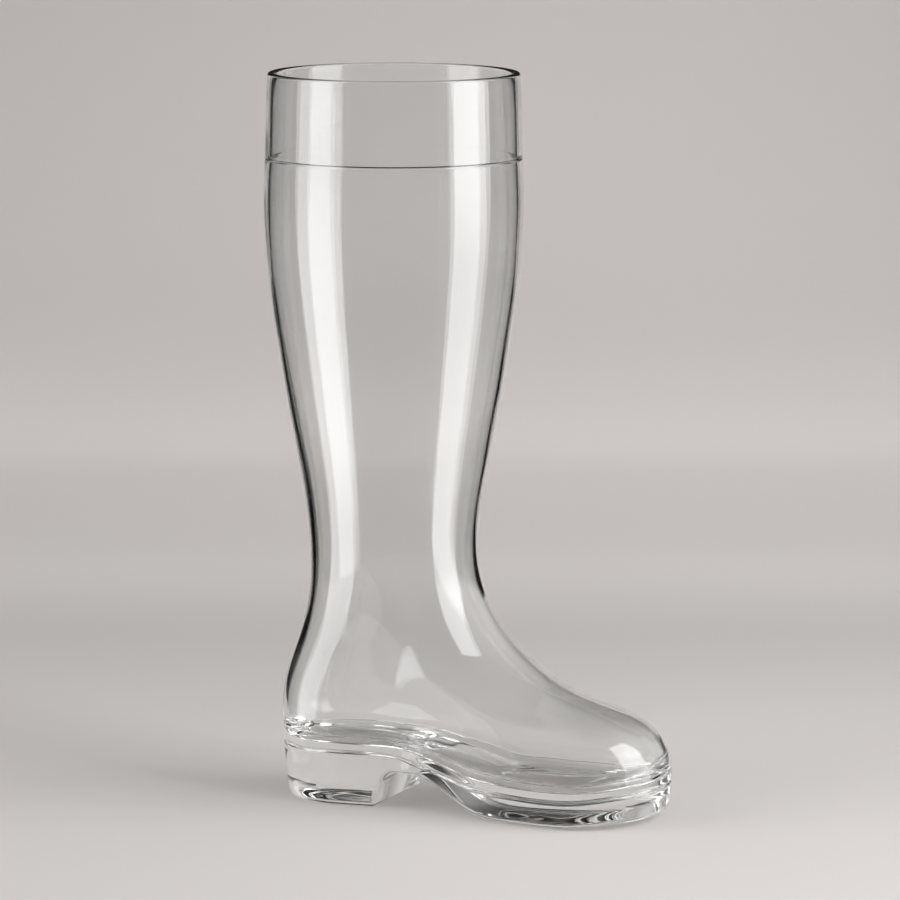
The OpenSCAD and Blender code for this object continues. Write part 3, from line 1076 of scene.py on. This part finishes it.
def softboxMaterial(name, facts):
    m, shader = newMaterial(name)
    tree = m.node_tree
    tree.nodes.remove(shader)
    place = addNode(tree, "TexCoord")
    parts = addNode(tree, "SeparateXYZ")
    link(tree, place, "Object", parts, "Vector")
    level = addNode(tree, "MapRange", {
        "From Min": softbox["dimBelow"],
        "From Max": softbox["fullAbove"],
        "To Min": facts["level"] * facts["dimShare"],
        "To Max": facts["level"],
    })
    level.interpolation_type = "SMOOTHSTEP"
    link(tree, parts, "Z", level, "Value")
    shine = addNode(tree, "Emission")
    link(tree, level, "Result", shine, "Strength")
    path = addNode(tree, "LightPath")
    direct = addNode(tree, "Math")  # 1 where no reflection came before
    direct.operation = "LESS_THAN"
    direct.inputs[1].default_value = 0.5
    link(tree, path, "Glossy Depth", direct, 0)
    through = product(tree, direct, "Value", path, "Is Transmission Ray")
    clearWhere(tree, through, "Value", shine, "Emission")
    return m


def makeSoftbox(name, facts):
    a = radians(facts["angle"])
    toward = towardCamera * cos(a) + towardRight * sin(a)
    across = Vector((-toward.y, toward.x, 0)) * softbox["width"] / 2
    middle = bootFoot + toward * softbox["distance"]
    low, high = softbox["low"], facts["high"]
    bm = bmesh.new()
    bm.faces.new([bm.verts.new(middle + across * side + Vector((0, 0, up)))
                  for side, up in ((1, low), (-1, low), (-1, high), (1, high))])
    sheet = stagePiece(name, bm, softboxMaterial(name, facts))
    sheet.visible_camera = False


for name, facts in lamps.items():
    makeSoftbox(name, facts)

# Two lamps that light the paper and are not seen in the glass: one overhead, and one from the front
# right that lays the boot's faint shadow on the table to the left
top = {
    "width": 2.2,
    "depth": 2.2,
    "height": 1.8,
    "behind": -0.45,
    "right": 0.5,
    "power": 16.5,
}
key = {
    "angle": 56,
    "distance": 1.3,
    "height": 0.75,
    "size": 0.45,
    "power": 14,
}


def newLamp(name, power, place):
    data = bpy.data.lights.new(name, "AREA")
    data.energy = power
    lamp = bpy.data.objects.new(name, data)
    lamp.location = place
    lamp.visible_camera = lamp.visible_glossy = lamp.visible_transmission = False
    scene.collection.objects.link(lamp)
    return lamp


def makeTopLamp():
    place = bootFoot - towardCamera * top["behind"] + towardRight * top["right"]
    lamp = newLamp("topLamp", top["power"], (place.x, place.y, top["height"]))
    lamp.rotation_euler = (0, 0, view["azimuth"])
    lamp.data.shape = "RECTANGLE"
    lamp.data.size = top["width"]
    lamp.data.size_y = top["depth"]


def makeKeyLamp():
    a = radians(key["angle"])
    place = bootFoot + (towardCamera * cos(a) + towardRight * sin(a)) * key["distance"]
    lamp = newLamp("keyLamp", key["power"], (place.x, place.y, key["height"]))
    lamp.rotation_euler = (bootFoot - lamp.location).to_track_quat("-Z", "Y").to_euler()
    lamp.data.size = key["size"]


makeTopLamp()
makeKeyLamp()

# The dim room: dark below the table behind the boot, grey walls above and on the camera's side
room = {
    "low": (0.004, 0.004, 0.004, 1),
    "high": (0.03, 0.03, 0.029, 1),
    "side": (0.65, 0.642, 0.624, 1),
    "front": (0.13, 0.128, 0.124, 1),
    "sideRange": (0.3, 0.75),
    "upRange": (-0.02, 0.08),
    "frontRange": (0.1, 0.7),
}


def makeWorld():
    world = bpy.data.worlds.new("room")
    world.use_nodes = True
    tree = world.node_tree
    place = addNode(tree, "TexCoord")

    def level(direction, span):
        ramp = addNode(tree, "MapRange", {"From Min": span[0], "From Max": span[1]})
        ramp.interpolation_type = "SMOOTHSTEP"
        link(tree, distanceAlong(tree, place, direction, "Generated"), "Value", ramp, "Value")
        return ramp

    def mixTones(factor, a, b):
        tone = addNode(tree, "Mix")
        tone.data_type = "RGBA"
        link(tree, factor, "Result", tone, "Factor")
        for name, value in (("A", a), ("B", b)):
            if isinstance(value, tuple):
                tone.inputs[name].default_value = value
            else:
                link(tree, value, "Result", tone, name)
        return tone

    sideways = mixTones(level(towardRight, room["sideRange"]), room["high"], room["side"])
    sideways = mixTones(level(-towardRight, room["sideRange"]), sideways, room["side"])
    upward = mixTones(level((0, 0, 1), room["upRange"]), room["low"], sideways)
    whole = mixTones(level(towardCamera, room["frontRange"]), upward, room["front"])
    link(tree, whole, "Result", tree.nodes["Background"], "Color")
    scene.world = world


makeWorld()

scene.view_settings.view_transform = "Standard"
scene.cycles.max_bounces = 24
scene.cycles.transmission_bounces = 24
scene.cycles.glossy_bounces = 12
scene.cycles.transparent_max_bounces = 48
